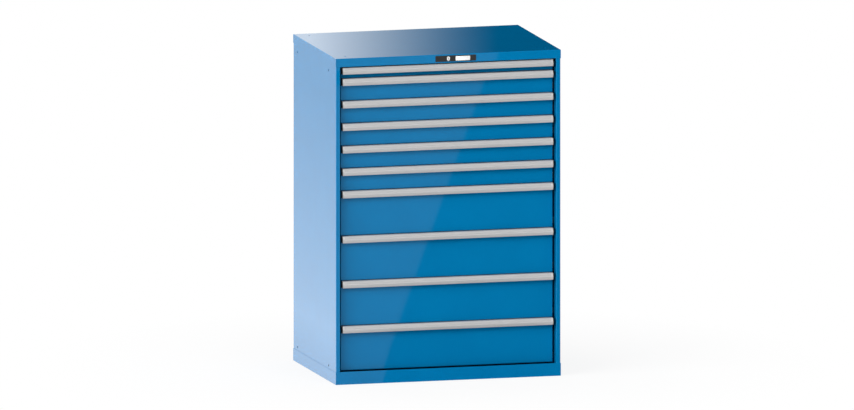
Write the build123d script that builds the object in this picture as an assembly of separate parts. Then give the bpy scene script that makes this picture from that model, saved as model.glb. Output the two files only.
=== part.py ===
from build123d import *
import os
from math import cos, hypot, radians, sin

# Housing, in mm. The origin is the middle of the footprint on the floor, the front looks along -Y.
CABINET_WIDTH = 1023.0
CABINET_DEPTH = 725.0
CABINET_HEIGHT = 1450.0
COVER_SHEET = 1.25
WALL_SHEET = 1.5
BEND_RADIUS = 2.5
BASE_SIDE_HEIGHT = 54.0
BASE_FRONT_HEIGHT = 57.0
DECK_HEIGHT = 40.0
FOOT_FLANGE = 25.0
TOP_HEIGHT = 38.0
LINTEL_RETURN = 12.0
POST_WIDTH = 18.75
POST_RETURN = 56.0
REAR_FLANGE = 20.0

# Bolt holes through the top and the sides
BOLT_HOLE_DIAMETER = 10.0
TOP_HOLE_EDGE = 58.0
SIDE_HOLE_FRONT = 127.0
SIDE_HOLE_REAR = 71.0
SIDE_HOLE_LOW = 68.0
SIDE_HOLE_HIGH = 69.0

# Drawer stack: heights of the drawers in equal units, from the top drawer down
DRAWER_UNIT_COUNTS = (1, 2, 2, 2, 2, 2, 4, 4, 4, 4)
STACK_GAP_LOW = 2.0
STACK_GAP_HIGH = 3.0

# Drawer fronts
FRONT_GAP = 2.0
FRONT_SIDE_GAP = 10.0
FRONT_RECESS = 29.0
FRONT_DEPTH = 20.0
FRONT_SHEET = 1.25
FRONT_FOLD_RADIUS = 2.5
FRONT_EDGE_RADIUS = 2.0
FRONT_FLANGE_OVERLAP = 8.0

# Drawer trays
TRAY_SHEET = 1.25
TRAY_LIFT = 6.0
TRAY_TOP_GAP = 8.0
TRAY_REAR_SPACE = 54.5
HEM_HEIGHT = 8.0

# Handle strips and their end caps
HANDLE_HEIGHT = 29.5
HANDLE_SHELF = 19.7
HANDLE_REACH = 25.9
HANDLE_SHEET = 2.5
NOSE_DROP = 16.5
NOSE_RADIUS = 12.0
SHELF_RADIUS = 3.0
LIP_RUN = 2.8
CAP_THICKNESS = 3.4
LABEL_RECESS = 0.8
LABEL_MARGIN_SHARES = (0.14, 0.78)

# Rails, uprights and carriages
RAIL_SHEET = 2.0
RAIL_SETBACK = 9.0
RAIL_REAR_SPACE = 25.0
UPRIGHT_WIDTH = 40.0
SLOT_WIDTH = 4.0
SLOT_HEIGHT = 16.0
SLOT_UNIT_COUNT = 2
TAB_CLEARANCE = 0.5
TAB_REACH = 8.0
RAIL_SIDE_CLEARANCE = 1.0
SHOE_HEIGHT = 22.0
SHOE_WIDTH = 10.0
SHOE_LENGTH = 24.0
SHOE_CLEARANCE = 0.3
SHOE_OFFSET = 30.0
SHOE_END_INSET = 20.0
BAR_SHEET = 3.0
BAR_HEIGHT = 16.0
CARRIAGE_LENGTH = 400.0

# Lock plate, plug and locking bar
PLATE_LEFT = 58.8
PLATE_RIGHT = 125.8
PLATE_HEIGHT = 26.6
PLATE_PROUD = 0.8
PLATE_CORNER = 3.0
PLATE_BODY_INSET = 3.0
PLATE_BODY_DEPTH = 6.0
CUTOUT_CLEARANCE = 0.3
CARD_LEFT = 30.7
CARD_WIDTH = 69.5
CARD_HEIGHT = 21.0
CARD_POCKET = 0.5
BARREL_WIDTH = 20.0
BARREL_LENGTH = 25.0
BEZEL_WIDTH = 14.4
BEZEL_HEIGHT = 20.0
BEZEL_PROUD = 0.5
PLUG_DIAMETER = 12.0
PLUG_PROUD = 0.2
RUN_CLEARANCE = 0.3
KEYWAY_WIDTH = 2.5
KEYWAY_HEIGHT = 9.0
KEYWAY_DEPTH = 12.0
CAM_SHEET = 3.0
CAM_WIDTH = 14.0
CAM_PIN_RADIUS = 9.0
CAM_PIN_ANGLE = -45.0
PIN_DIAMETER = 5.0
PIN_OVERHANG = 3.0
PIN_CLEARANCE = 0.5
LOCK_BAR_SHEET = 3.0
LOCK_BAR_STANDOFF = 3.0
LOCK_BAR_GAP = 2.2
LOCK_ARM_HEIGHT = 14.0
LUG_REACH = 5.0
LUG_THICKNESS = 4.0
LUG_HEIGHT = 8.0
LUG_BACKLASH = 3.0
LUG_CLEARANCE = 1.2

# Cuts run this far past the faces they open.
OVERRUN = 1.0

# Places worked out from the sizes above. Sideways places are given for the right-hand side.
half_width = CABINET_WIDTH / 2
front_y = -CABINET_DEPTH / 2
rear_y = CABINET_DEPTH / 2
wall_x = half_width - COVER_SHEET
wall_inner_x = wall_x - WALL_SHEET
wall_front = front_y + COVER_SHEET
wall_rear = rear_y - COVER_SHEET
post_x = wall_x - POST_WIDTH
flange_front = wall_rear - WALL_SHEET
inner_bend = BEND_RADIUS - WALL_SHEET

under_cover = CABINET_HEIGHT - COVER_SHEET
wall_top = CABINET_HEIGHT - BEND_RADIUS
lintel_z = CABINET_HEIGHT - TOP_HEIGHT
stack_top = lintel_z - STACK_GAP_HIGH
stack_z = BASE_FRONT_HEIGHT + STACK_GAP_LOW
drawer_unit = (stack_top - stack_z) / sum(DRAWER_UNIT_COUNTS)

front_x = post_x - FRONT_SIDE_GAP
panel_y = front_y + FRONT_RECESS
tray_front = panel_y + FRONT_DEPTH
tray_rear = rear_y - TRAY_REAR_SPACE

rail_channel = SHOE_HEIGHT + 2 * SHOE_CLEARANCE
rail_height = rail_channel + 2 * RAIL_SHEET
rail_front = tray_front + RAIL_SETBACK
rail_rear = rear_y - RAIL_REAR_SPACE
rail_web_x = post_x - RAIL_SHEET
bar_outer_x = rail_web_x - RAIL_SIDE_CLEARANCE - SHOE_WIDTH
bar_inner_x = bar_outer_x - BAR_SHEET
tray_x = bar_inner_x - SHOE_WIDTH - RAIL_SIDE_CLEARANCE - RAIL_SHEET
carriage_y = (rail_front + tray_rear) / 2
upright_fronts = (rail_front, rail_rear - UPRIGHT_WIDTH)

lock_z = (lintel_z + CABINET_HEIGHT) / 2
plate_front = front_y - PLATE_PROUD
plug_front = plate_front - BEZEL_PROUD - PLUG_PROUD
pin_x = CAM_PIN_RADIUS * cos(radians(CAM_PIN_ANGLE))
pin_z = lock_z + CAM_PIN_RADIUS * sin(radians(CAM_PIN_ANGLE))
lock_bar_x = front_x + LOCK_BAR_GAP
lock_bar_outer_x = post_x - RUN_CLEARANCE
barrel_rear = wall_front + BARREL_LENGTH
cam_rear = barrel_rear + RUN_CLEARANCE + CAM_SHEET
lock_bar_front = cam_rear + LOCK_BAR_STANDOFF
lock_bar_rear = lock_bar_front + LOCK_BAR_SHEET


def block(x0, x1, y0, y1, z0, z1):
    """Box between two opposite corners."""
    middle = Pos((x0 + x1) / 2, (y0 + y1) / 2, (z0 + z1) / 2)
    return middle * Box(x1 - x0, y1 - y0, z1 - z0)


def rod_x(diameter, x0, x1, y, z):
    """Round rod along X."""
    return Pos((x0 + x1) / 2, y, z) * Rot(0, 90, 0) * Cylinder(diameter / 2, x1 - x0)


def rod_y(diameter, y0, y1, x, z):
    """Round rod along Y."""
    return Pos(x, (y0 + y1) / 2, z) * Rot(90, 0, 0) * Cylinder(diameter / 2, y1 - y0)


def rod_z(diameter, z0, z1, x, y):
    """Round rod along Z."""
    return Pos(x, y, (z0 + z1) / 2) * Cylinder(diameter / 2, z1 - z0)


def both_sides(shapes):
    """Right-hand shapes and their mirror images, as one group of separate solids."""
    right = [solid for shape in shapes for solid in shape.solids()]
    left = [mirror(solid, about=Plane.YZ) for solid in right]
    return Compound(right + [solid for shape in left for solid in shape.solids()])


def drawer_levels():
    """Lower and upper edge of each drawer's place in the stack, from the top drawer down."""
    levels = []
    top = stack_top
    for count in DRAWER_UNIT_COUNTS:
        levels.append((top - count * drawer_unit, top))
        top -= count * drawer_unit
    return levels


def rail_level(low):
    """Height of the rails' middle for a drawer whose place starts at low."""
    return low + drawer_unit / 2


def lower_front_edge(body):
    """Lower edge along X that is nearest the front."""
    return body.edges().filter_by(Axis.X).sort_by(Axis.Z)[:2].sort_by(Axis.Y)[0]


def base_plinth():
    """Plinth: skirt all round with a raised front strip, a deck inside and a flange on the floor."""
    body = block(-half_width, half_width, front_y, rear_y, 0, BASE_SIDE_HEIGHT)
    body += block(-half_width, half_width, front_y, wall_front, 0, BASE_FRONT_HEIGHT)
    over = BASE_SIDE_HEIGHT + OVERRUN
    body -= block(-wall_x, wall_x, wall_front, wall_rear, DECK_HEIGHT, over)
    under = DECK_HEIGHT - WALL_SHEET
    body -= block(-wall_x, wall_x, wall_front, wall_rear, COVER_SHEET, under)
    foot_x = wall_x - FOOT_FLANGE
    foot_front = wall_front + FOOT_FLANGE
    foot_rear = wall_rear - FOOT_FLANGE
    body -= block(-foot_x, foot_x, foot_front, foot_rear, -OVERRUN, COVER_SHEET + OVERRUN)
    return body


def lintel_fold():
    """Lower part of the lintel, bent back between the posts."""
    rear = wall_front + LINTEL_RETURN
    top = lintel_z + LINTEL_RETURN
    outer = block(-post_x, post_x, front_y, rear, lintel_z, top)
    inner = block(-post_x, post_x, wall_front, rear + OVERRUN, lintel_z + COVER_SHEET, top + OVERRUN)
    outer = fillet(lower_front_edge(outer), BEND_RADIUS)
    return outer - fillet(lower_front_edge(inner), BEND_RADIUS - COVER_SHEET)


def top_cover():
    """Cap over the walls with rounded upper edges, a folded lintel, the lock's cut-out and bolt holes."""
    body = block(-half_width, half_width, front_y, rear_y, lintel_z, CABINET_HEIGHT)
    body = fillet(body.edges().group_by(Axis.Z)[-1], BEND_RADIUS)
    hollow = block(-wall_x, wall_x, wall_front, wall_rear, lintel_z - OVERRUN, under_cover)
    body -= fillet(hollow.edges().group_by(Axis.Z)[-1], BEND_RADIUS - COVER_SHEET)
    fold_top = lintel_z + LINTEL_RETURN
    body -= block(-post_x, post_x, front_y - OVERRUN, wall_front + OVERRUN, lintel_z - OVERRUN, fold_top)
    body += lintel_fold()
    inset = PLATE_BODY_INSET - CUTOUT_CLEARANCE
    half_cut = PLATE_HEIGHT / 2 - inset
    cut_front = front_y - OVERRUN
    cut_rear = wall_front + OVERRUN
    low = lock_z - half_cut
    body -= block(-PLATE_LEFT + inset, PLATE_RIGHT - inset, cut_front, cut_rear, low, lock_z + half_cut)
    hole_x = half_width - TOP_HOLE_EDGE
    hole_y = rear_y - TOP_HOLE_EDGE
    for x in (-hole_x, hole_x):
        for y in (-hole_y, hole_y):
            body -= rod_z(BOLT_HOLE_DIAMETER, under_cover - OVERRUN, CABINET_HEIGHT + OVERRUN, x, y)
    return body


def right_side_wall():
    """Side wall bent into a front post with a deep return and into a rear flange."""
    rear_x = wall_x - REAR_FLANGE
    post_inner_x = post_x + WALL_SHEET
    post_rear = wall_front + WALL_SHEET
    outline = Polygon(
        (wall_x, wall_front),
        (wall_x, wall_rear),
        (rear_x, wall_rear),
        (rear_x, flange_front),
        (wall_inner_x, flange_front),
        (wall_inner_x, post_rear),
        (post_inner_x, post_rear),
        (post_inner_x, wall_front + POST_RETURN),
        (post_x, wall_front + POST_RETURN),
        (post_x, wall_front),
        align=None,
    )
    outer_corners = ((wall_x, wall_front), (wall_x, wall_rear), (post_x, wall_front))
    inner_corners = ((wall_inner_x, post_rear), (wall_inner_x, flange_front), (post_inner_x, post_rear))
    for corners, radius in ((outer_corners, BEND_RADIUS), (inner_corners, inner_bend)):
        for corner in corners:
            outline = fillet(outline.vertices().sort_by_distance(corner)[0], radius)
    body = extrude(Pos(0, 0, DECK_HEIGHT) * outline, amount=wall_top - DECK_HEIGHT)
    for y in (front_y + SIDE_HOLE_FRONT, rear_y - SIDE_HOLE_REAR):
        for z in (SIDE_HOLE_LOW, CABINET_HEIGHT - SIDE_HOLE_HIGH):
            body -= rod_x(BOLT_HOLE_DIAMETER, wall_inner_x - OVERRUN, wall_x + OVERRUN, y, z)
    return body


def rear_wall():
    """Plain sheet in front of the side walls' rear flanges."""
    edge_x = wall_inner_x - inner_bend
    return block(-edge_x, edge_x, flange_front - WALL_SHEET, flange_front, DECK_HEIGHT, under_cover)


def upright(front):
    """Channel against the side wall with slots for the rails' tabs at every level that a drawer can take."""
    rear = front + UPRIGHT_WIDTH
    body = block(post_x, wall_inner_x, front, rear, DECK_HEIGHT, under_cover)
    low = DECK_HEIGHT - OVERRUN
    high = under_cover + OVERRUN
    web_x = post_x + WALL_SHEET
    body -= block(web_x, wall_inner_x + OVERRUN, front + WALL_SHEET, rear - WALL_SHEET, low, high)
    slot_front = (front + rear - SLOT_WIDTH) / 2
    slot_rear = slot_front + SLOT_WIDTH
    slots = []
    for step in range(0, sum(DRAWER_UNIT_COUNTS), SLOT_UNIT_COUNT):
        z = rail_level(stack_z + step * drawer_unit) - SLOT_HEIGHT / 2
        slots.append(block(post_x - OVERRUN, web_x + OVERRUN, slot_front, slot_rear, z, z + SLOT_HEIGHT))
    return body - slots


def cabinet_rail(low):
    """Channel that opens towards the drawer, with a tab in a slot of each upright."""
    z = rail_level(low)
    tip_x = bar_outer_x + RAIL_SIDE_CLEARANCE
    body = block(tip_x, post_x, rail_front, rail_rear, z - rail_height / 2, z + rail_height / 2)
    cut_front = rail_front - OVERRUN
    cut_rear = rail_rear + OVERRUN
    half = rail_channel / 2
    body -= block(tip_x - OVERRUN, rail_web_x, cut_front, cut_rear, z - half, z + half)
    half_tab = SLOT_WIDTH / 2 - TAB_CLEARANCE
    tab_half_height = SLOT_HEIGHT / 2 - TAB_CLEARANCE
    for front in upright_fronts:
        y = front + UPRIGHT_WIDTH / 2
        tab_x = post_x + TAB_REACH
        body += block(rail_web_x, tab_x, y - half_tab, y + half_tab, z - tab_half_height, z + tab_half_height)
    return body


def carriage(low):
    """Bar with two shoes in the cabinet rail behind its middle and two in the drawer rail before it."""
    z = rail_level(low)
    half_length = CARRIAGE_LENGTH / 2
    half_bar = BAR_HEIGHT / 2
    rear = carriage_y + half_length
    pieces = [block(bar_inner_x, bar_outer_x, carriage_y - half_length, rear, z - half_bar, z + half_bar)]
    half_shoe = SHOE_LENGTH / 2
    half_height = SHOE_HEIGHT / 2
    outer_end = bar_outer_x + SHOE_WIDTH
    inner_end = bar_inner_x - SHOE_WIDTH
    for x0, x1, side in ((bar_outer_x, outer_end, 1), (inner_end, bar_inner_x, -1)):
        for distance in (SHOE_OFFSET, half_length - SHOE_END_INSET):
            y = carriage_y + side * distance
            pieces.append(block(x0, x1, y - half_shoe, y + half_shoe, z - half_height, z + half_height))
    return pieces


def drawer_rail(low):
    """Channel on the tray's side that opens towards the carriage."""
    z = rail_level(low)
    tip_x = bar_inner_x - RAIL_SIDE_CLEARANCE
    body = block(tray_x, tip_x, rail_front, tray_rear, z - rail_height / 2, z + rail_height / 2)
    web_x = tray_x + RAIL_SHEET
    half = rail_channel / 2
    cut_rear = tray_rear + OVERRUN
    return body - block(web_x, tip_x + OVERRUN, rail_front - OVERRUN, cut_rear, z - half, z + half)


def drawer_tray(low, high):
    """Open tray with a hem outside its upper edge and a rail welded to each side."""
    bottom = low + TRAY_LIFT
    rim = high - TRAY_TOP_GAP
    hem_x = tray_x + TRAY_SHEET
    body = block(-tray_x, tray_x, tray_front, tray_rear, bottom, rim)
    body += block(-hem_x, hem_x, tray_front, tray_rear + TRAY_SHEET, rim - HEM_HEIGHT, rim)
    body += both_sides([drawer_rail(low)]).solids()
    inner_x = tray_x - TRAY_SHEET
    inner_front = tray_front + TRAY_SHEET
    inner_rear = tray_rear - TRAY_SHEET
    floor = bottom + TRAY_SHEET
    return body - block(-inner_x, inner_x, inner_front, inner_rear, floor, rim + OVERRUN)


def front_outline():
    """Outline of a drawer front seen from above, with rounded side edges."""
    face = Pos(0, (panel_y + tray_front) / 2) * Rectangle(2 * front_x, FRONT_DEPTH)
    return fillet(face.vertices().group_by(Axis.Y)[0], FRONT_EDGE_RADIUS)


def drawer_front(low, high):
    """Folded pan with rounded lower and side edges, an open back and the lock lug on its left-hand side."""
    top = high - FRONT_GAP
    body = block(-front_x, front_x, panel_y, tray_front, low, top)
    outline = Pos(0, 0, low) * front_outline()
    body = fillet(lower_front_edge(body), FRONT_FOLD_RADIUS) & extrude(outline, amount=top - low)
    inner_x = front_x - FRONT_SHEET
    inner_rear = tray_front - FRONT_SHEET
    floor = low + FRONT_SHEET
    hollow = block(-inner_x, inner_x, panel_y + FRONT_SHEET, inner_rear, floor, top - FRONT_SHEET)
    body -= fillet(lower_front_edge(hollow), FRONT_FOLD_RADIUS - FRONT_SHEET)
    window_x = tray_x - FRONT_FLANGE_OVERLAP
    window_low = low + TRAY_LIFT + FRONT_FLANGE_OVERLAP
    window_high = high - TRAY_TOP_GAP - FRONT_FLANGE_OVERLAP
    window_rear = tray_front + OVERRUN
    body -= block(-window_x, window_x, inner_rear - OVERRUN, window_rear, window_low, window_high)
    z = rail_level(low) - LUG_HEIGHT / 2
    lug_front = lock_bar_rear + LUG_BACKLASH
    lug_x = front_x + LUG_REACH
    return body + block(-lug_x, -inner_x, lug_front, lug_front + LUG_THICKNESS, z, z + LUG_HEIGHT)


def handle_outline(top):
    """Outer outline of the handle strip in the YZ plane: back, shelf, slope, rounded nose and lip."""
    nose_y = panel_y - HANDLE_REACH
    bottom = top - HANDLE_HEIGHT
    face = Polygon(
        (panel_y, bottom),
        (panel_y, top),
        (panel_y - HANDLE_SHELF, top),
        (nose_y, top - NOSE_DROP),
        (nose_y + LIP_RUN, bottom),
        align=None,
    )
    face = fillet(face.vertices().sort_by(Axis.X)[0], NOSE_RADIUS)
    shelf_corner = face.vertices().group_by(Axis.Y)[-1].sort_by(Axis.X)[0]
    return fillet(shelf_corner, SHELF_RADIUS)


def label_channel(top):
    """Shallow recess along the slope of the handle strip."""
    start = Vector(panel_y - HANDLE_SHELF, top)
    slope = Vector(panel_y - HANDLE_REACH, top - NOSE_DROP) - start
    length = hypot(slope.X, slope.Y)
    inward = Vector(-slope.Y / length, slope.X / length)
    first, last = (start + slope * share for share in LABEL_MARGIN_SHARES)
    inner = inward * LABEL_RECESS
    outer = inward * -OVERRUN
    corners = (first + outer, last + outer, last + inner, first + inner)
    return Polygon(*[(corner.X, corner.Y) for corner in corners], align=None)


def drawer_handle(high):
    """Handle strip: one bent section, open underneath for the fingers."""
    top = high - FRONT_GAP
    outline = handle_outline(top)
    inside = offset(outline, -HANDLE_SHEET)
    mouth_front = panel_y - HANDLE_REACH + LIP_RUN + HANDLE_SHEET
    mouth_rear = panel_y - HANDLE_SHEET
    low = top - HANDLE_HEIGHT
    mouth_height = 2 * (HANDLE_SHEET + OVERRUN)
    mouth = Pos((mouth_front + mouth_rear) / 2, low) * Rectangle(mouth_rear - mouth_front, mouth_height)
    section = outline - inside - mouth - label_channel(top)
    half_length = front_x - CAP_THICKNESS
    return Pos(-half_length, 0, 0) * extrude(Plane.YZ * section, amount=2 * half_length)


def drawer_caps(high):
    """Two end caps with the outline of the handle strip."""
    start = front_x - CAP_THICKNESS
    cap = extrude(Plane.YZ * handle_outline(high - FRONT_GAP), amount=CAP_THICKNESS)
    return both_sides([Pos(start, 0, 0) * cap])


def lock_plate():
    """Plate on the lintel with a card pocket, an oval bezel, a body in the cut-out and the plug's barrel."""
    left = -PLATE_LEFT
    half = PLATE_HEIGHT / 2
    plate = block(left, PLATE_RIGHT, plate_front, front_y, lock_z - half, lock_z + half)
    plate = fillet(plate.edges().filter_by(Axis.Y), PLATE_CORNER)
    oval = Pos(0, lock_z) * SlotOverall(BEZEL_HEIGHT, BEZEL_WIDTH, rotation=90)
    plate += extrude(Plane.XZ.offset(-front_y) * oval, amount=PLATE_PROUD + BEZEL_PROUD)
    half_body = half - PLATE_BODY_INSET
    body_left = left + PLATE_BODY_INSET
    body_right = PLATE_RIGHT - PLATE_BODY_INSET
    body_rear = front_y + PLATE_BODY_DEPTH
    plate += block(body_left, body_right, front_y, body_rear, lock_z - half_body, lock_z + half_body)
    half_barrel = BARREL_WIDTH / 2
    barrel_top = lock_z + half_barrel
    plate += block(-half_barrel, half_barrel, front_y, barrel_rear, lock_z - half_barrel, barrel_top)
    pocket_right = CARD_LEFT + CARD_WIDTH
    pocket_rear = plate_front + CARD_POCKET
    half_card = CARD_HEIGHT / 2
    pocket_front = plate_front - OVERRUN
    low = lock_z - half_card
    plate -= block(CARD_LEFT, pocket_right, pocket_front, pocket_rear, low, lock_z + half_card)
    bore = PLUG_DIAMETER + 2 * RUN_CLEARANCE
    return plate - rod_y(bore, plug_front - OVERRUN, barrel_rear + OVERRUN, 0, lock_z)


def lock_cylinder():
    """Plug with a keyway, and a cam on its rear end with a pin below on the left."""
    plug = rod_y(PLUG_DIAMETER, plug_front, cam_rear, 0, lock_z)
    half_key = KEYWAY_HEIGHT / 2
    half_slot = KEYWAY_WIDTH / 2
    key_rear = plug_front + KEYWAY_DEPTH
    key_front = plug_front - OVERRUN
    plug -= block(-half_slot, half_slot, key_front, key_rear, lock_z - half_key, lock_z + half_key)
    half_cam = CAM_WIDTH / 2
    cam_end = CAM_PIN_RADIUS + half_cam
    lever = block(-half_cam, cam_end, cam_rear - CAM_SHEET, cam_rear, -half_cam, half_cam)
    plug += Pos(0, 0, lock_z) * Rot(0, -CAM_PIN_ANGLE, 0) * lever
    plug += rod_y(PIN_DIAMETER, cam_rear, lock_bar_rear + PIN_OVERHANG, pin_x, pin_z)
    return mirror(plug, about=Plane.YZ)


def locking_bar():
    """Flat plate: a notched strip on the left in front of the drawers' lugs and an arm to the cam's pin."""
    half_arm = LOCK_ARM_HEIGHT / 2
    front = lock_bar_front
    rear = lock_bar_rear
    foot = DECK_HEIGHT + RUN_CLEARANCE
    body = block(lock_bar_x, lock_bar_outer_x, front, rear, foot, pin_z + half_arm)
    body += block(-LOCK_ARM_HEIGHT / 2, lock_bar_outer_x, front, rear, pin_z - half_arm, pin_z + half_arm)
    room = PIN_DIAMETER / 2 + PIN_CLEARANCE
    cut_front = front - OVERRUN
    cut_rear = rear + OVERRUN
    body -= block(pin_x - room, CAM_PIN_RADIUS + room, cut_front, cut_rear, pin_z - room, pin_z + room)
    half_notch = LUG_HEIGHT / 2 + LUG_CLEARANCE
    notch_x = front_x + LUG_REACH + LUG_CLEARANCE
    notches = []
    for low, high in drawer_levels():
        z = rail_level(low)
        bottom = z - half_notch
        notches.append(block(lock_bar_x - OVERRUN, notch_x, cut_front, cut_rear, bottom, z + half_notch))
    return mirror(body - notches, about=Plane.YZ)


def write(name, shape):
    """Writes one node's file."""
    export_step(shape, "parts/" + name + ".step")


def main():
    os.makedirs("parts", exist_ok=True)
    wall = right_side_wall()
    levels = drawer_levels()
    write("base_plinth", base_plinth())
    write("top_cover", top_cover())
    write("right_side_wall", wall)
    write("left_side_wall", mirror(wall, about=Plane.YZ))
    write("rear_wall", rear_wall())
    write("rail_uprights", both_sides([upright(front) for front in upright_fronts]))
    write("cabinet_rails", both_sides([cabinet_rail(low) for low, high in levels]))
    write("lock_plate", lock_plate())
    write("lock_cylinder", lock_cylinder())
    write("locking_bar", locking_bar())
    for number, (low, high) in enumerate(levels, start=1):
        name = f"drawer_{number:02d}_"
        write(name + "tray", drawer_tray(low, high))
        write(name + "front", drawer_front(low, high))
        write(name + "handle", drawer_handle(high))
        write(name + "caps", drawer_caps(high))
        write(name + "carriages", both_sides(carriage(low)))


main()
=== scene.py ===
import math

import bmesh
import bpy
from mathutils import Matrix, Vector


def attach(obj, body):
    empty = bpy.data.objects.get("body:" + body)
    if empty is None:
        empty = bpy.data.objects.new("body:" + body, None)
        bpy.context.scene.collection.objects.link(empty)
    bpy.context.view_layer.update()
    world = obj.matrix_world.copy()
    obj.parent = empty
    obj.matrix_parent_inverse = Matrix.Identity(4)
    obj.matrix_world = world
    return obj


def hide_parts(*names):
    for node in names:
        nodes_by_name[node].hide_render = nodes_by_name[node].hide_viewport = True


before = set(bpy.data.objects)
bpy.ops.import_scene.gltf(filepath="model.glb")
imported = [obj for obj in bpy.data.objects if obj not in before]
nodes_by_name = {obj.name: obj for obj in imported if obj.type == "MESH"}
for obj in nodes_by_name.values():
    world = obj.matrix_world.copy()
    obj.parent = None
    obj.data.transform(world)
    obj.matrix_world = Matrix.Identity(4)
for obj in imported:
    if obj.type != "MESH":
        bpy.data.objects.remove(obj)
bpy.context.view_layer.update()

scene = bpy.context.scene
scene.view_settings.view_transform = "Standard"

# Sizes are in metres, in the frame of the CAD model.
MM = 0.001
SIDES = (-1, 1)
X_AXIS, Y_AXIS, Z_AXIS = Vector((1, 0, 0)), Vector((0, 1, 0)), Vector((0, 0, 1))
ALONG_X, ALONG_Z = 0, 2

# The photograph is a parallel projection from the left, a little above.
CAMERA_AZIMUTH = -15.0
CAMERA_ELEVATION = 9.0
CAMERA_DISTANCE = 8.0
CAMERA_AIM = (0.0, 0.0, 0.7244)
ORTHO_SCALE = 3.7506

# Drawer places: lower edges from the top drawer down, and the top of the stack
STACK_TOP = 1409 * MM
DRAWER_LOWS = [z * MM for z in (1359, 1259, 1159, 1059, 959, 859, 659, 459, 259, 59)]
FRONT_GAP = 2 * MM

# Trays
TRAY_X = 462.5 * MM
TRAY_FRONT = -313.5 * MM
TRAY_REAR = 308 * MM
TRAY_SHEET = 1.25 * MM
TRAY_LIFT = 6 * MM
TRAY_TOP_GAP = 8 * MM
HEM_HEIGHT = 8 * MM
HEM_ROLL = 1.2 * MM
HEM_FOOT_ROUND = 0.4 * MM
SLOT_PITCH = 17 * MM
SLOT_WIDTH = 2.4 * MM
SLOT_EDGE = 24 * MM
SLOT_RIM = 6 * MM
SLOT_BRIDGE = 12 * MM
SLOT_LONGEST = 80 * MM
SLOT_SHORTEST = 10 * MM
SLOT_ABOVE_RAIL = 3 * MM

# Rails and carriages
RAIL_MIDDLE = 25 * MM
RAIL_HALF = 13.3 * MM
RAIL_TIP_X = 474.5 * MM
RAIL_SHEET = 2 * MM
RAIL_FRONT = -304.5 * MM
RAIL_TIP_ROUND = 0.5 * MM
RAIL_OUTER_BEND = 3 * MM
RAIL_INNER_BEND = 1 * MM
BAR_INNER_X = 475.5 * MM
BAR_OUTER_X = 478.5 * MM
BAR_HALF = 8 * MM
BAR_EDGE = 0.4 * MM
BAR_END_STEPS = 12
CARRIAGE_Y = 1.75 * MM
CARRIAGE_HALF = 200 * MM
ROLLER_PLACES = (30 * MM, 180 * MM)
ROLLER_SEGMENTS = 24

# Handle slope and its label channel, from the shelf's edge to the nose
SHELF_Y = -353.2 * MM
NOSE_Y = -359.4 * MM
NOSE_DROP = 16.5 * MM
LABEL_SHARES = (0.14, 0.78)
LABEL_HALF_LENGTH = 470 * MM
LABEL_DEEP = 0.8 * MM
LABEL_FACE = 0.12 * MM
LABEL_PLAY = 0.1 * MM
LABEL_ROUND = 0.25 * MM

# Lock plate: the card in its pocket, the oval on the boss and the shutter in the keyway, whose near-black
# colour is painted shade
LOCK_Z = 1431 * MM
PLATE_FRONT = -363.3 * MM
POCKET_FLOOR = -362.8 * MM
CARD_X = (33.4 * MM, 98.6 * MM)
CARD_BELOW = 10.2 * MM
CARD_ABOVE = 8.9 * MM
CARD_CORNER = 1 * MM
CARD_FACE = PLATE_FRONT + 0.1 * MM
CARD_EDGE = PLATE_FRONT + 0.2 * MM
CARD_EDGE_INSET = 0.12 * MM
BOSS_FRONT = -363.8 * MM
BEZEL_EDGE = -363.9 * MM
BEZEL_FRONT = -363.98 * MM
BEZEL_LIP = -363.84 * MM
BEZEL_HALF_WIDTH = 6.7 * MM
BEZEL_HALF_HEIGHT = 9.2 * MM
BEZEL_FLARE = 0.15 * MM
BEZEL_BORE = 6.45 * MM
BEZEL_SEGMENTS = 48
BEZEL_SMOOTH = 60.0
KEYWAY_SHUTTER = -363.7 * MM
KEYWAY_HALF = 1.2 * MM
KEYWAY_RISE = 4.4 * MM
SHUTTER_THICK = 0.8 * MM
SHUTTER_EDGE = 0.2 * MM
SHUTTER_EDGE_INSET = 0.15 * MM
SHUTTER_CORNER = 0.4 * MM

# Rivets between the rear wall and the side walls' flanges
FLANGE_Y = 361.25 * MM
RIVET_X = 499.5 * MM
RIVET_LEVELS = [z * MM for z in (110, 320, 530, 740, 950, 1160, 1370)]
RIVET_SEGMENTS = 20


def in_metres(*pairs):
    """A profile's pairs of millimetres in metres."""
    return [(a * MM, b * MM) for a, b in pairs]


# Turned profiles as (distance from the bar, radius)
ROLLER = in_metres(
    (0.0, 5.4), (0.7, 5.4), (0.7, 10.1), (1.3, 10.8), (8.7, 10.8), (9.3, 10.1),
    (9.3, 8.4), (8.5, 7.8), (8.5, 5.6), (9.2, 5.2), (9.2, 3.4),
)
RIVET = in_metres((9.2, 3.3), (9.6, 3.1), (9.9, 2.2), (9.95, 0.8))
RIVET_TAIL = in_metres((0.0, 4.2), (0.5, 4.0), (0.85, 2.9), (0.95, 1.0))
# The rear rivets' profile as (height over the flange, radius)
RIVET_HEAD = in_metres((0.0, 4.0), (0.35, 3.9), (0.75, 3.2), (0.92, 1.9), (0.7, 1.7), (0.65, 0.5))

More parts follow.
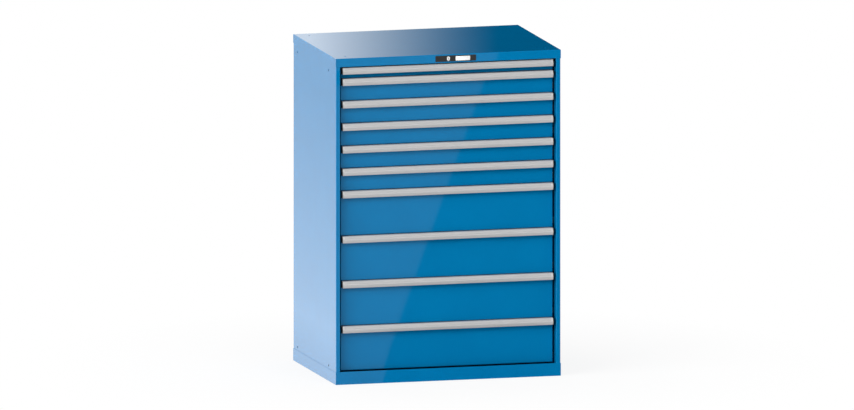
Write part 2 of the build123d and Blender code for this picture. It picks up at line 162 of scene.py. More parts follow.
# Linear colours: each material drifts between a colour and a slightly deeper one.
BLUE = (0.0002, 0.159, 0.368)
BLUE_DEEP = (0.0002, 0.15, 0.35)
TRAY_GREY = (0.5, 0.52, 0.53)
TRAY_GREY_DEEP = (0.47, 0.49, 0.5)
HANDLE_GREY = (0.515, 0.515, 0.516)
HANDLE_GREY_DEEP = (0.5, 0.5, 0.502)
ZINC = (0.46, 0.47, 0.475)
ZINC_DEEP = (0.36, 0.37, 0.38)
NICKEL = (0.95, 0.95, 0.94)
NICKEL_DEEP = (0.9, 0.9, 0.89)
CAP_BLACK = (0.0075, 0.0075, 0.008)
CAP_BLACK_DEEP = (0.006, 0.006, 0.0065)
PLATE_BLACK = (0.02, 0.02, 0.0205)
PLATE_BLACK_DEEP = (0.017, 0.017, 0.0175)
# The shutter's near-black is painted shade that stands in for the dark depth of the keyway.
SHUTTER_PAINTED_SHADE = (0.008, 0.008, 0.008)
SHUTTER_PAINTED_SHADE_DEEP = (0.006, 0.006, 0.006)
ROLLER_BLACK = (0.05, 0.05, 0.052)
ROLLER_BLACK_DEEP = (0.043, 0.043, 0.045)
LABEL_GREY = (0.392, 0.392, 0.393)
LABEL_GREY_DEEP = (0.382, 0.382, 0.383)
CARD_WHITE = (0.92, 0.92, 0.915)
CARD_WHITE_DEEP = (0.88, 0.88, 0.875)
FLOOR_PALE = (0.88, 0.88, 0.88)
FLOOR_PALE_DEEP = (0.86, 0.86, 0.86)

# Paint. Here and below, texture scales are per metre, BUMP is a strength and DEPTH its height in metres.
PEEL_SCALE = 620.0
PEEL_DEPTH = 0.12 * MM
PAINT_CLOUD_SCALE = 7.0
PAINT_IOR = 1.5

# Brushed metal
BRUSH_SCALE = 1500.0
BRUSH_STRETCH = 0.012
BRUSH_BUMP = 0.009
BRUSH_DEPTH = 0.06 * MM
METAL_CLOUD_SCALE = 9.0

# Zinc
SPANGLE_SCALE = 140.0
SPANGLE_REACH = 0.8
ZINC_CLOUD_SCALE = 90.0
ZINC_ROUGH = (0.34, 0.5)
ZINC_GRAIN_SCALE = 700.0
ZINC_BUMP = 0.05
ZINC_DEPTH = 0.08 * MM
ZINC_METALLIC = 0.9

# Plastic
GRAIN_SCALE = 1400.0
GRAIN_BUMP = 0.12
GRAIN_DEPTH = 0.08 * MM
PLASTIC_CLOUD_SCALE = 40.0
PLASTIC_ROUGH_DRIFT = 0.06

# Paper under its cover
FIBRE_SCALE = 900.0
FIBRE_STRETCH = (0.35, 1.0, 1.0)
FIBRE_BUMP = 0.04
FIBRE_DEPTH = 0.04 * MM
PAPER_ROUGH_DRIFT = 0.05
COVER_ROUGH = 0.3


# Material helpers

def new_material(name):
    """A material with its Principled shader: (material, node tree, shader)."""
    material = bpy.data.materials.new(name)
    material.use_nodes = True
    tree = material.node_tree
    shader = next(n for n in tree.nodes if n.type == "BSDF_PRINCIPLED")
    return material, tree, shader


def coordinates(tree, scale=(1.0, 1.0, 1.0)):
    """Object coordinates in metres, stretched by scale."""
    source = tree.nodes.new("ShaderNodeTexCoord")
    mapping = tree.nodes.new("ShaderNodeMapping")
    mapping.inputs["Scale"].default_value = scale
    tree.links.new(source.outputs["Object"], mapping.inputs["Vector"])
    return mapping.outputs["Vector"]


def noise(tree, vector, scale, detail=3.0, roughness=0.55):
    """A noise texture's value."""
    node = tree.nodes.new("ShaderNodeTexNoise")
    node.inputs["Scale"].default_value = scale
    node.inputs["Detail"].default_value = detail
    node.inputs["Roughness"].default_value = roughness
    tree.links.new(vector, node.inputs["Vector"])
    return node.outputs["Fac"]


def spread(tree, value, low, high, start=0.3, end=0.7):
    """Maps a value from start..end to low..high."""
    node = tree.nodes.new("ShaderNodeMapRange")
    node.inputs["From Min"].default_value = start
    node.inputs["From Max"].default_value = end
    node.inputs["To Min"].default_value = low
    node.inputs["To Max"].default_value = high
    tree.links.new(value, node.inputs["Value"])
    return node.outputs["Result"]


def mixed(tree, factor, first, second):
    """A colour between first and second by factor."""
    node = tree.nodes.new("ShaderNodeMix")
    node.data_type = "RGBA"
    node.inputs["A"].default_value = (*first, 1.0)
    node.inputs["B"].default_value = (*second, 1.0)
    tree.links.new(factor, node.inputs["Factor"])
    return node.outputs["Result"]


def bump(tree, shader, height, strength, distance):
    """Fine relief from a texture's value."""
    node = tree.nodes.new("ShaderNodeBump")
    node.inputs["Strength"].default_value = strength
    node.inputs["Distance"].default_value = distance
    tree.links.new(height, node.inputs["Height"])
    tree.links.new(node.outputs["Normal"], shader.inputs["Normal"])


def tinted(tree, shader, value, colour, colour_deep):
    """Base colour that drifts between two close colours."""
    shade = spread(tree, value, 0.0, 1.0)
    tree.links.new(mixed(tree, shade, colour, colour_deep), shader.inputs["Base Color"])


def roughened(tree, shader, value, low, high):
    """Roughness that drifts between low and high."""
    tree.links.new(spread(tree, value, low, high), shader.inputs["Roughness"])


def painted(name, colour, colour_deep, rough_low, rough_high, peel):
    """Powder coat: slight cloudiness, orange peel and a roughness that varies with it."""
    material, tree, shader = new_material(name)
    vector = coordinates(tree)
    fine = noise(tree, vector, PEEL_SCALE, detail=2.0)
    tinted(tree, shader, noise(tree, vector, PAINT_CLOUD_SCALE, detail=4.0), colour, colour_deep)
    roughened(tree, shader, fine, rough_low, rough_high)
    bump(tree, shader, fine, peel, PEEL_DEPTH)
    shader.inputs["IOR"].default_value = PAINT_IOR
    return material


def brushed(name, colour, colour_deep, rough_low, rough_high, along, metallic):
    """Metal with fine lines along one axis."""
    material, tree, shader = new_material(name)
    stretch = [1.0, 1.0, 1.0]
    stretch[along] = BRUSH_STRETCH
    lines = noise(tree, coordinates(tree, stretch), BRUSH_SCALE, roughness=0.6)
    tinted(tree, shader, noise(tree, coordinates(tree), METAL_CLOUD_SCALE), colour, colour_deep)
    roughened(tree, shader, lines, rough_low, rough_high)
    bump(tree, shader, lines, BRUSH_BUMP, BRUSH_DEPTH)
    shader.inputs["Metallic"].default_value = metallic
    return material


def zinc(name):
    """Zinc-plated steel with faint spangle."""
    material, tree, shader = new_material(name)
    vector = coordinates(tree)
    cells = tree.nodes.new("ShaderNodeTexVoronoi")
    cells.inputs["Scale"].default_value = SPANGLE_SCALE
    tree.links.new(vector, cells.inputs["Vector"])
    shade = spread(tree, cells.outputs["Distance"], 0.0, 1.0, 0.0, SPANGLE_REACH)
    tree.links.new(mixed(tree, shade, ZINC, ZINC_DEEP), shader.inputs["Base Color"])
    roughened(tree, shader, noise(tree, vector, ZINC_CLOUD_SCALE), *ZINC_ROUGH)
    bump(tree, shader, noise(tree, vector, ZINC_GRAIN_SCALE), ZINC_BUMP, ZINC_DEPTH)
    shader.inputs["Metallic"].default_value = ZINC_METALLIC
    return material


def moulded(name, colour, colour_deep, rough):
    """Moulded plastic with a spark-eroded grain."""
    material, tree, shader = new_material(name)
    vector = coordinates(tree)
    grain = noise(tree, vector, GRAIN_SCALE, detail=2.0)
    tinted(tree, shader, noise(tree, vector, PLASTIC_CLOUD_SCALE), colour, colour_deep)
    roughened(tree, shader, grain, rough - PLASTIC_ROUGH_DRIFT, rough + PLASTIC_ROUGH_DRIFT)
    bump(tree, shader, grain, GRAIN_BUMP, GRAIN_DEPTH)
    return material


def paper(name, colour, colour_deep, rough, coat):
    """Card or paper with fibres, under a clear cover."""
    material, tree, shader = new_material(name)
    fibres = noise(tree, coordinates(tree, FIBRE_STRETCH), FIBRE_SCALE, detail=4.0, roughness=0.7)
    tinted(tree, shader, fibres, colour, colour_deep)
    roughened(tree, shader, fibres, rough - PAPER_ROUGH_DRIFT, rough + PAPER_ROUGH_DRIFT)
    bump(tree, shader, fibres, FIBRE_BUMP, FIBRE_DEPTH)
    shader.inputs["Coat Weight"].default_value = coat
    shader.inputs["Coat Roughness"].default_value = COVER_ROUGH
    return material


blue_paint = painted("blue_paint", BLUE, BLUE_DEEP, rough_low=0.035, rough_high=0.065, peel=0.012)
tray_paint = painted("tray_paint", TRAY_GREY, TRAY_GREY_DEEP, rough_low=0.38, rough_high=0.48, peel=0.08)
handle_metal = brushed(
    "handle_metal", HANDLE_GREY, HANDLE_GREY_DEEP,
    rough_low=0.45, rough_high=0.49, along=ALONG_X, metallic=0.35,
)
zinc_steel = zinc("zinc_steel")
nickel = brushed(
    "nickel", NICKEL, NICKEL_DEEP,
    rough_low=0.25, rough_high=0.35, along=ALONG_Z, metallic=0.2,
)
cap_plastic = moulded("cap_plastic", CAP_BLACK, CAP_BLACK_DEEP, rough=0.5)
plate_plastic = moulded("plate_plastic", PLATE_BLACK, PLATE_BLACK_DEEP, rough=0.5)
# The shutter's material: near-black painted shade for the keyway, with a plastic grain.
shutter_painted_shade = moulded("shutter_painted_shade", SHUTTER_PAINTED_SHADE, SHUTTER_PAINTED_SHADE_DEEP, rough=0.45)
roller_plastic = moulded("roller_plastic", ROLLER_BLACK, ROLLER_BLACK_DEEP, rough=0.42)
label_paper = paper("label_paper", LABEL_GREY, LABEL_GREY_DEEP, rough=0.55, coat=0.25)
card_paper = paper("card_paper", CARD_WHITE, CARD_WHITE_DEEP, rough=0.6, coat=0.1)


def dress(name, material):
    """Gives a CAD node its material."""
    mesh = nodes_by_name[name].data
    mesh.materials.clear()
    mesh.materials.append(material)


for name in (
    "base_plinth", "top_cover", "left_side_wall", "right_side_wall",
    "rear_wall", "rail_uprights", "locking_bar",
):
    dress(name, blue_paint)
dress("cabinet_rails", zinc_steel)
dress("lock_plate", plate_plastic)
dress("lock_cylinder", nickel)
for number in range(1, len(DRAWER_LOWS) + 1):
    prefix = f"drawer_{number:02d}_"
    dress(prefix + "front", blue_paint)
    dress(prefix + "tray", tray_paint)
    dress(prefix + "handle", handle_metal)
    dress(prefix + "caps", cap_plastic)
    dress(prefix + "carriages", zinc_steel)


# Mesh helpers

class Shape:
    """Vertices and faces of one piece."""

    def __init__(self):
        self.points = []
        self.faces = []

    def add(self, points, faces):
        """Adds points, and faces that count from the first of them."""
        start = len(self.points)
        self.points += [tuple(p) for p in points]
        self.faces += [tuple(start + i for i in face) for face in faces]

    def skin(self, rings, caps=()):
        """Skin over closed rings of equal length, with the given faces as caps."""
        count = len(rings[0])
        faces = []
        for r in range(len(rings) - 1):
            for i in range(count):
                j = (i + 1) % count
                faces.append((r * count + i, r * count + j, (r + 1) * count + j, (r + 1) * count + i))
        self.add([p for ring in rings for p in ring], [*faces, *caps])

    def loft(self, rings):
        """Skin over closed rings of equal length, closed at both ends."""
        count = len(rings[0])
        last = (len(rings) - 1) * count
        self.skin(rings, (tuple(reversed(range(count))), tuple(last + i for i in range(count))))


def piece(name, shape, material, body, smooth=40.0):
    """Makes a shape an object that rides on a body."""
    mesh = bpy.data.meshes.new(name)
    mesh.from_pydata(shape.points, [], shape.faces)
    work = bmesh.new()
    work.from_mesh(mesh)
    bmesh.ops.recalc_face_normals(work, faces=work.faces)
    work.to_mesh(mesh)
    work.free()
    mesh.shade_smooth()
    mesh.set_sharp_from_angle(angle=math.radians(smooth))
    mesh.materials.append(material)
    obj = bpy.data.objects.new(name, mesh)
    scene.collection.objects.link(obj)
    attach(obj, body)
    return obj


def rounded(corners, steps=4):
    """Outline through corners (a, b, radius), each corner turned into a curve."""
    outline = []
    for k, (a, b, radius) in enumerate(corners):
        here = Vector((a, b))
        if not radius:
            outline.append(here)
            continue
        before = Vector(corners[k - 1][:2]) - here
        after = Vector(corners[(k + 1) % len(corners)][:2]) - here
        start = here + before.normalized() * radius
        end = here + after.normalized() * radius
        for s in range(steps + 1):
            t = s / steps
            outline.append(start * (1 - t) ** 2 + here * 2 * t * (1 - t) + end * t ** 2)
    return outline


def rectangle(left, right, low, high, radius=0.0):
    """Outline of an upright rectangle with rounded corners."""
    corners = ((left, low), (right, low), (right, high), (left, high))
    return rounded([(a, b, radius) for a, b in corners])


def circle(radius, count):
    """Points around the origin."""
    angles = [math.tau * k / count for k in range(count)]
    return [(radius * math.cos(angle), radius * math.sin(angle)) for angle in angles]


def along_x(outline, x0, x1):
    """Two rings of an outline in Y and Z."""
    return [[(x, p.x, p.y) for p in outline] for x in (x0, x1)]


def along_y(outline, y0, y1):
    """Two rings of an outline in X and Z."""
    return [[(p.x, y, p.y) for p in outline] for y in (y0, y1)]


def turned(profile, x, y, z, side):
    """Rings of a turned body on an axis along X: the profile holds (distance from x, radius)."""
    rings = []
    for distance, radius in profile:
        rings.append([(x + side * distance, y + a, z + b) for a, b in circle(radius, ROLLER_SEGMENTS)])
    return rings


def slotted(shape, corner, along, up, inward, columns, rows):
    """Sheet with slots: columns and rows hold the lines of a grid, odd cells in both are open."""
    wide = len(columns) - 1
    high = len(rows) - 1
    points = []
    for u in columns:
        for v in rows:
            outer = corner + along * u + up * v
            points += [outer, outer + inward * TRAY_SHEET]

    def index(i, j, k):
        return (i * (high + 1) + j) * 2 + k

    def solid(i, j):
        inside = 0 <= i < wide and 0 <= j < high
        return inside and not (i % 2 and j % 2)

    faces = []
    for i in range(wide):
        for j in range(high):
            if not solid(i, j):
                continue
            cell = ((i, j), (i + 1, j), (i + 1, j + 1), (i, j + 1))
            faces.append(tuple(index(*c, 0) for c in cell))
            faces.append(tuple(index(*c, 1) for c in reversed(cell)))
            neighbours = ((i, j - 1), (i + 1, j), (i, j + 1), (i - 1, j))
            for k, neighbour in enumerate(neighbours):
                if not solid(*neighbour):
                    a, b = cell[k], cell[(k + 1) % 4]
                    faces.append((index(*a, 0), index(*a, 1), index(*b, 1), index(*b, 0)))
    shape.add(points, faces)


def slot_columns(length):
    """Grid lines of a row of slots at an even pitch, centred on the sheet."""
    count = int((length - 2 * SLOT_EDGE) / SLOT_PITCH) + 1
    first = (length - (count - 1) * SLOT_PITCH) / 2
    lines = [0.0]
    for k in range(count):
        middle = first + k * SLOT_PITCH
        lines += [middle - SLOT_WIDTH / 2, middle + SLOT_WIDTH / 2]
    return lines + [length]


def slot_rows(start, height):
    """Grid lines of slots between start and the sheet's upper edge, long ones divided by bridges."""
    end = height - SLOT_RIM
    if end - start < SLOT_SHORTEST:
        return None
    count = math.ceil((end - start) / SLOT_LONGEST)
    step = (end - start + SLOT_BRIDGE) / count
    lines = [0.0]
    for k in range(count):
        lines += [start + k * step, start + (k + 1) * step - SLOT_BRIDGE]
    return lines + [height]


# Pieces

def tray(number, low, high):
    """Tray of slotted sheets with a rolled hem and a channel on each side."""
    shape = Shape()
    bottom = low + TRAY_LIFT
    rim = high - TRAY_TOP_GAP
    wall = rim - HEM_HEIGHT - bottom
    inner = TRAY_X - TRAY_SHEET
    depth = TRAY_REAR - TRAY_FRONT
    above_rail = RAIL_MIDDLE + RAIL_HALF + SLOT_ABOVE_RAIL - TRAY_LIFT
    for side in SIDES:
        rows = slot_rows(above_rail, wall)
        columns = slot_columns(depth) if rows else [0.0, depth]
        corner = Vector((side * TRAY_X, TRAY_FRONT, bottom))
        slotted(shape, corner, Y_AXIS, Z_AXIS, X_AXIS * -side, columns, rows or [0.0, wall])
    for y, inward, height in ((TRAY_FRONT, Y_AXIS, rim - bottom), (TRAY_REAR, -Y_AXIS, wall)):
        rows = slot_rows(SLOT_RIM + TRAY_SHEET, height)
        corner = Vector((-inner, y, bottom))
        slotted(shape, corner, X_AXIS, Z_AXIS, inward, slot_columns(2 * inner), rows)
    floor = rectangle(-inner, inner, bottom, bottom + TRAY_SHEET)
    shape.loft(along_y(floor, TRAY_FRONT + TRAY_SHEET, TRAY_REAR - TRAY_SHEET))
    foot = rim - HEM_HEIGHT
    hem = rounded([
        (TRAY_SHEET, foot, HEM_FOOT_ROUND),
        (TRAY_SHEET, rim, HEM_ROLL),
        (-TRAY_SHEET, rim, HEM_ROLL),
        (-TRAY_SHEET, foot, 0),
    ])
    stations = (
        (-TRAY_X, TRAY_FRONT, -1, 0),
        (-TRAY_X, TRAY_REAR, -1, 1),
        (TRAY_X, TRAY_REAR, 1, 1),
        (TRAY_X, TRAY_FRONT, 1, 0),
    )
    shape.loft([[(x + p.x * dx, y + p.x * dy, p.y) for p in hem] for x, y, dx, dy in stations])
    z = low + RAIL_MIDDLE
    for side in SIDES:
        web = side * TRAY_X
        tip = side * RAIL_TIP_X
        inside = side * (TRAY_X + RAIL_SHEET)
        upper = RAIL_HALF - RAIL_SHEET
        channel = rounded([
            (tip, z + RAIL_HALF, RAIL_TIP_ROUND),
            (web, z + RAIL_HALF, RAIL_OUTER_BEND),
            (web, z - RAIL_HALF, RAIL_OUTER_BEND),
            (tip, z - RAIL_HALF, RAIL_TIP_ROUND),
            (tip, z - upper, RAIL_TIP_ROUND),
            (inside, z - upper, RAIL_INNER_BEND),
            (inside, z + upper, RAIL_INNER_BEND),
            (tip, z + upper, RAIL_TIP_ROUND),
        ])
        shape.loft(along_y(channel, RAIL_FRONT, TRAY_REAR))
    obj = piece(f"drawer_{number:02d}_slotted_tray", shape, tray_paint, f"drawer_{number:02d}")
    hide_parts(f"drawer_{number:02d}_tray")


def bar_ring(x, z, inset):
    """Outline of a carriage's bar with rounded ends."""
    half = BAR_HALF - inset
    straight = CARRIAGE_HALF - BAR_HALF
    ring = []
    for end, start in ((1, -90.0), (-1, 90.0)):
        for k in range(BAR_END_STEPS + 1):
            angle = math.radians(start + 180.0 * k / BAR_END_STEPS)
            y = CARRIAGE_Y + end * straight + half * math.cos(angle)
            ring.append((x, y, z + half * math.sin(angle)))
    return ring


def carriages(number, low):
    """Bars and rollers of a drawer's two carriages."""
    bars = Shape()
    rollers = Shape()
    z = low + RAIL_MIDDLE
    inner, outer = BAR_INNER_X, BAR_OUTER_X
    for side in SIDES:
        rings = ((inner, BAR_EDGE), (inner + BAR_EDGE, 0.0), (outer - BAR_EDGE, 0.0), (outer, BAR_EDGE))
        bars.loft([bar_ring(side * x, z, inset) for x, inset in rings])
        for face, back, way in ((outer, inner, 1), (inner, outer, -1)):
            for distance in ROLLER_PLACES:
                y = CARRIAGE_Y + way * distance
                rollers.loft(turned(ROLLER, side * face, y, z, side * way))
                bars.loft(turned(RIVET, side * face, y, z, side * way))
                bars.loft(turned(RIVET_TAIL, side * back, y, z, -side * way))
    body = f"carriages_{number:02d}"
    obj = piece(f"drawer_{number:02d}_carriage_bars", bars, zinc_steel, body)
    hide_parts(f"drawer_{number:02d}_carriages")
    piece(f"drawer_{number:02d}_rollers", rollers, roller_plastic, body)


def label(number, top):
    """Bare label strip behind a clear cover in the handle's channel."""
    start = Vector((SHELF_Y, top))
    slope = Vector((NOSE_Y, top - NOSE_DROP)) - start
    inward = Vector((-slope.y, slope.x)).normalized()
    first, last = (start + slope * share for share in LABEL_SHARES)
    play = slope.normalized() * LABEL_PLAY
    corners = []
    for point, depth, radius in (
        (first + play, LABEL_FACE, LABEL_ROUND),
        (last - play, LABEL_FACE, LABEL_ROUND),
        (last - play, LABEL_DEEP, 0),
        (first + play, LABEL_DEEP, 0),
    ):
        place = point + inward * depth
        corners.append((place.x, place.y, radius))
    shape = Shape()
    shape.loft(along_x(rounded(corners), -LABEL_HALF_LENGTH, LABEL_HALF_LENGTH))
    piece(f"drawer_{number:02d}_label", shape, label_paper, f"drawer_{number:02d}")


def lock_card():
    """Bare card in the lock plate's pocket, with rounded corners and edges."""
    left, right = CARD_X
    low, high = LOCK_Z - CARD_BELOW, LOCK_Z + CARD_ABOVE
    shape = Shape()
    rings = []
    for y, inset in ((POCKET_FLOOR, 0.0), (CARD_EDGE, 0.0), (CARD_FACE, CARD_EDGE_INSET)):
        outline = rectangle(left + inset, right - inset, low + inset, high - inset, CARD_CORNER)
        rings.append([(p.x, y, p.y) for p in outline])
    shape.loft(rings)
    piece("lock_card", shape, card_paper, "housing")


def oval_ring(half_width, half_height, y):
    """Ring of an upright oval with straight sides around the lock's axis."""
    rise = half_height - half_width
    ring = []
    for a, b in circle(half_width, BEZEL_SEGMENTS):
        ring.append((a, y, LOCK_Z + (rise if b >= 0 else -rise) + b))
    return ring


def lock_bezel():
    """Polished oval escutcheon on the boss's face, open round the plug."""
    rings = []
    for flare, y in ((BEZEL_FLARE, BOSS_FRONT), (BEZEL_FLARE, BEZEL_EDGE), (0.0, BEZEL_FRONT)):
        rings.append(oval_ring(BEZEL_HALF_WIDTH + flare, BEZEL_HALF_HEIGHT + flare, y))
    rings += [oval_ring(BEZEL_BORE, BEZEL_BORE, y) for y in (BEZEL_FRONT, BEZEL_LIP)]
    shape = Shape()
    shape.skin(rings)
    piece("lock_bezel", shape, nickel, "housing", smooth=BEZEL_SMOOTH)


def painted_shade_shutter():
    """Dust shutter just inside the keyway, with rounded corners and a rounded front edge; its near-black
    colour is painted shade that darkens the keyway.
    """
    shape = Shape()
    rings = []
    for depth, inset in ((SHUTTER_THICK, 0.0), (SHUTTER_EDGE, 0.0), (0.0, SHUTTER_EDGE_INSET)):
        half, rise = KEYWAY_HALF - inset, KEYWAY_RISE - inset
        outline = rectangle(-half, half, -rise, rise, SHUTTER_CORNER)
        rings.append([(p.x, KEYWAY_SHUTTER + depth, LOCK_Z + p.y) for p in outline])
    shape.loft(rings)
    piece("painted_shade_shutter", shape, shutter_painted_shade, "lock_cylinder")


def rear_rivets():
    """Blind rivets that hold the rear wall to the side walls' flanges."""
    shape = Shape()
    for side in SIDES:
        x = side * RIVET_X
        for z in RIVET_LEVELS:
            rings = []
            for height, radius in RIVET_HEAD:
                rings.append([(x + a, FLANGE_Y + height, z + b) for a, b in circle(radius, RIVET_SEGMENTS)])
            shape.loft(rings)
    piece("rear_rivets", shape, zinc_steel, "housing")


top = STACK_TOP
for number, low in enumerate(DRAWER_LOWS, start=1):
    tray(number, low, top)
    carriages(number, low)
    label(number, top - FRONT_GAP)
    top = low
lock_card()
lock_bezel()
painted_shade_shutter()
rear_rivets()


# World and floor

# Strength of the world for light on the object, and for what the camera and mirror rays see
WORLD_LIGHT = 0.47
WORLD_WHITE = 1.0

FLOOR_HALF = 40.0
FLOOR_Z = -0.4 * MM
FLOOR_ROUGH = 0.9
FLOOR_SPECKLE_SCALE = 3.0
# The floor's own white takes over from its shaded colour between two distances from the middle.
FLOOR_WHITE_SHARES = (0.86, 1.0)
FLOOR_WHITE_REACH = (0.7, 1.8)


def light_paths(tree):
    """One for rays from the camera, mirror rays and rays through glass."""
    path = tree.nodes.new("ShaderNodeLightPath")
    total = path.outputs["Is Camera Ray"]
    for name in ("Is Glossy Ray", "Is Transmission Ray"):
        node = tree.nodes.new("ShaderNodeMath")
        node.operation = "MAXIMUM"
        tree.links.new(total, node.inputs[0])
        tree.links.new(path.outputs[name], node.inputs[1])
        total = node.outputs[0]
    return total


def background(tree, strength):
    """White background of a strength."""
    node = tree.nodes.new("ShaderNodeBackground")
    node.inputs["Color"].default_value = (1.0, 1.0, 1.0, 1.0)
    node.inputs["Strength"].default_value = strength
    return node.outputs[0]


def blended(tree, factor, first, second):
    """A shader between first and second by factor."""
    node = tree.nodes.new("ShaderNodeMixShader")
    tree.links.new(factor, node.inputs["Fac"])
    tree.links.new(first, node.inputs[1])
    tree.links.new(second, node.inputs[2])
    return node.outputs[0]


world = bpy.data.worlds.new("studio")
scene.world = world
world.use_nodes = True
tree = world.node_tree
tree.nodes.clear()
sky = blended(tree, light_paths(tree), background(tree, WORLD_LIGHT), background(tree, WORLD_WHITE))
output = tree.nodes.new("ShaderNodeOutputWorld")
tree.links.new(sky, output.inputs["Surface"])


def stage_plane(name, corners, material):
    """A single flat face as a stage object."""
    mesh = bpy.data.meshes.new(name)
    mesh.from_pydata(corners, [], [tuple(range(len(corners)))])
    mesh.materials.append(material)
    obj = bpy.data.objects.new(name, mesh)
    scene.collection.objects.link(obj)
    return obj


def level(x0, x1, y0, y1, z=0.0):
    """Corners of a level rectangle."""
    return [(x0, y0, z), (x1, y0, z), (x1, y1, z), (x0, y1, z)]


def upright(x0, x1, y, z0, z1):
    """Corners of an upright rectangle that faces the front."""
    return [(x0, y, z0), (x1, y, z0), (x1, y, z1), (x0, y, z1)]


def floor_material():
    """Pale floor that reads as the white background and keeps a faint shadow."""
    material, tree, shader = new_material("floor_pale")
    speckle = noise(tree, coordinates(tree), FLOOR_SPECKLE_SCALE)
    tree.links.new(mixed(tree, speckle, FLOOR_PALE, FLOOR_PALE_DEEP), shader.inputs["Base Color"])
    shader.inputs["Roughness"].default_value = FLOOR_ROUGH
    shader.inputs["Specular IOR Level"].default_value = 0.0
    glow = tree.nodes.new("ShaderNodeEmission")
    away = tree.nodes.new("ShaderNodeVectorMath")
    away.operation = "LENGTH"
    tree.links.new(coordinates(tree), away.inputs[0])
    white = spread(tree, away.outputs["Value"], *FLOOR_WHITE_SHARES, *FLOOR_WHITE_REACH)
    share = tree.nodes.new("ShaderNodeMath")
    share.operation = "MULTIPLY"
    tree.links.new(light_paths(tree), share.inputs[0])
    tree.links.new(white, share.inputs[1])
    output = next(n for n in tree.nodes if n.type == "OUTPUT_MATERIAL")
    surface = blended(tree, share.outputs[0], shader.outputs[0], glow.outputs[0])
    tree.links.new(surface, output.inputs["Surface"])
    return material


floor_corners = level(-FLOOR_HALF, FLOOR_HALF, -FLOOR_HALF, FLOOR_HALF, FLOOR_Z)
stage_plane("floor", floor_corners, floor_material())


# Cards that only mirror rays see. A glow of 1 is white.

SIDEWAYS = (1.0, 0.0, 0.0)
WIDE_REACH = (-0.5, 0.5)
BLACK_GLOW = (0.0, 0.0)

# Flag before the front and its foot on the floor: a slanting edge divides them into a grey and a black part.
FLAG_Y = -1.1
FLAG_X = (-1.2, 0.72)
FLAG_TOP = 1.38
FLAG_GLOW = (0.36, 0.0)
FLAG_SLANT = (1.0, 0.0, -0.3664)
FLAG_EDGE = (-0.0705, -0.0545)
FOOT_Y = -0.372
FOOT_HALF = 0.52
FOOT_SLANT = (1.0, 0.3284, 0.0)
FOOT_EDGE = (-0.4245, -0.4165)
BAND_Y = -1.098
BAND_Z = (1.212, 1.278)

# Ceiling and backdrop, seen in the top
BACK_HALF = 2.5
CEILING_END = (1.9, 3.2)
CEILING_GLOW = (0.2, 0.05)
BACKDROP_Y = 2.0
BACKDROP_Z = (1.46, 3.0)
BACKDROP_REACH = (0.0, 0.868)
BACKDROP_GLOW = (1.37, 0.0)
BACKDROP_POWER = 1.65

# Floor to the left of the object, at its foot and behind it, seen in the side
FAR = 12.0
LEFT_EDGE = -0.9
LEFT_REACH = (-2.6, LEFT_EDGE)
LEFT_GLOW = (0.92, 1.6)
LEFT_POWER = 0.8
PLINTH_X = -0.512
PLINTH_REACH = (LEFT_EDGE, -0.513)
PLINTH_GLOW = (1.6, 1.38)
REAR_Y = 0.37
REAR_REACH = (-0.5, 1.5)
REAR_GLOW = (1.38, 1.0)


def mirror_card(name, corners, direction, reach, glow, power=1.0):
    """A card whose glow runs from the first to the second value over its reach along a direction."""
    material = bpy.data.materials.new(name)
    material.use_nodes = True
    tree = material.node_tree
    tree.nodes.clear()
    place = tree.nodes.new("ShaderNodeVectorMath")
    place.operation = "DOT_PRODUCT"
    place.inputs[1].default_value = direction
    tree.links.new(coordinates(tree), place.inputs[0])
    curve = tree.nodes.new("ShaderNodeMath")
    curve.operation = "POWER"
    curve.inputs[1].default_value = power
    tree.links.new(spread(tree, place.outputs["Value"], 1.0, 0.0, *reach), curve.inputs[0])
    emission = tree.nodes.new("ShaderNodeEmission")
    first, second = glow
    tree.links.new(spread(tree, curve.outputs[0], second, first, 0.0, 1.0), emission.inputs["Strength"])
    output = tree.nodes.new("ShaderNodeOutputMaterial")
    tree.links.new(emission.outputs[0], output.inputs["Surface"])
    card = stage_plane(name, corners, material)
    card.visible_camera = False
    card.visible_diffuse = False
    card.visible_shadow = False
    card.visible_transmission = False


flag_left, flag_right = FLAG_X
mirror_card("flag_front", upright(*FLAG_X, FLAG_Y, 0.0, FLAG_TOP), FLAG_SLANT, FLAG_EDGE, FLAG_GLOW)
# The black band is seen in the narrow front under the first handle.
mirror_card("flag_band", upright(*FLAG_X, BAND_Y, *BAND_Z), SIDEWAYS, WIDE_REACH, BLACK_GLOW)
flag_foot = [
    (-FOOT_HALF, FOOT_Y, 0.0), (FOOT_HALF, FOOT_Y, 0.0), (flag_right, FLAG_Y, 0.0), (flag_left, FLAG_Y, 0.0),
]
mirror_card("flag_floor", flag_foot, FOOT_SLANT, FOOT_EDGE, FLAG_GLOW)
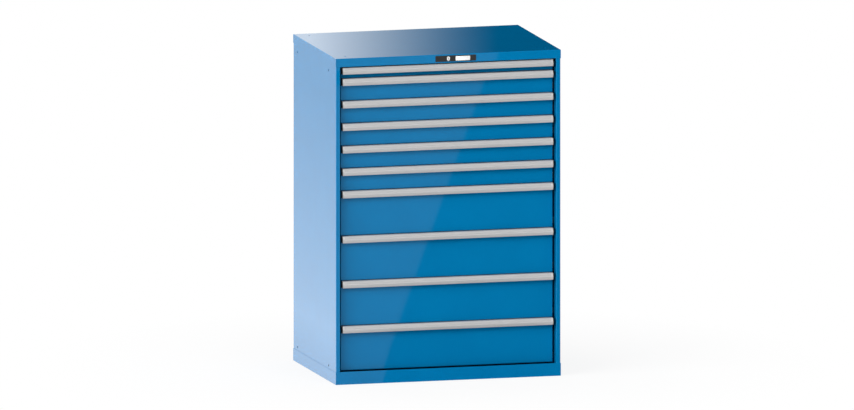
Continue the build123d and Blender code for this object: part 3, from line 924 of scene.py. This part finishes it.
# The dark ceiling is seen in the top's rounded front edge, the backdrop in its flat part.
ceiling = [
    (-BACK_HALF, FLAG_Y, FLAG_TOP), (BACK_HALF, FLAG_Y, FLAG_TOP),
    (BACK_HALF, *CEILING_END), (-BACK_HALF, *CEILING_END),
]
mirror_card("flag_over", ceiling, SIDEWAYS, WIDE_REACH, CEILING_GLOW)
backdrop = upright(-BACK_HALF, BACK_HALF, BACKDROP_Y, *BACKDROP_Z)
mirror_card("backdrop_fade", backdrop, SIDEWAYS, BACKDROP_REACH, BACKDROP_GLOW, BACKDROP_POWER)
mirror_card("floor_left", level(-FAR, LEFT_EDGE, -FAR, FAR), SIDEWAYS, LEFT_REACH, LEFT_GLOW, LEFT_POWER)
mirror_card("floor_foot", level(LEFT_EDGE, PLINTH_X, -FAR, FAR), SIDEWAYS, PLINTH_REACH, PLINTH_GLOW)
mirror_card("floor_rear", level(PLINTH_X, FAR, REAR_Y, FAR), SIDEWAYS, REAR_REACH, REAR_GLOW)


# Lamps and camera

LAMP_AIM = (0.0, -0.3, 0.7)
TOP_AIM = (0.0, 0.0, 1.45)


def lamp(name, place, aim, size, power):
    """A square softbox: size in metres, power in watts."""
    light = bpy.data.lights.new(name, "AREA")
    light.shape = "RECTANGLE"
    light.size = light.size_y = size
    light.energy = power
    obj = bpy.data.objects.new(name, light)
    obj.location = place
    obj.rotation_euler = (Vector(aim) - Vector(place)).to_track_quat("-Z", "Y").to_euler()
    scene.collection.objects.link(obj)


lamp("left_softbox", (-18.73, -3.6, 6.88), LAMP_AIM, size=8.0, power=2170.0)
lamp("key_softbox", (-19.9, -13.23, 10.28), LAMP_AIM, size=12.8, power=3530.0)
lamp("front_softbox", (4.08, -15.52, 13.01), LAMP_AIM, size=8.0, power=980.0)
lamp("top_softbox", (0.0, 1.5, 5.0), TOP_AIM, size=2.0, power=28.0)

camera_data = bpy.data.cameras.new("camera")
camera_data.type = "ORTHO"
camera_data.ortho_scale = ORTHO_SCALE
camera = bpy.data.objects.new("camera", camera_data)
azimuth = math.radians(CAMERA_AZIMUTH)
elevation = math.radians(CAMERA_ELEVATION)
flat = math.cos(elevation)
away = Vector((math.sin(azimuth) * flat, -math.cos(azimuth) * flat, math.sin(elevation)))
camera.location = Vector(CAMERA_AIM) + away * CAMERA_DISTANCE
camera.rotation_euler = (-away).to_track_quat("-Z", "Y").to_euler()
scene.collection.objects.link(camera)
scene.camera = camera
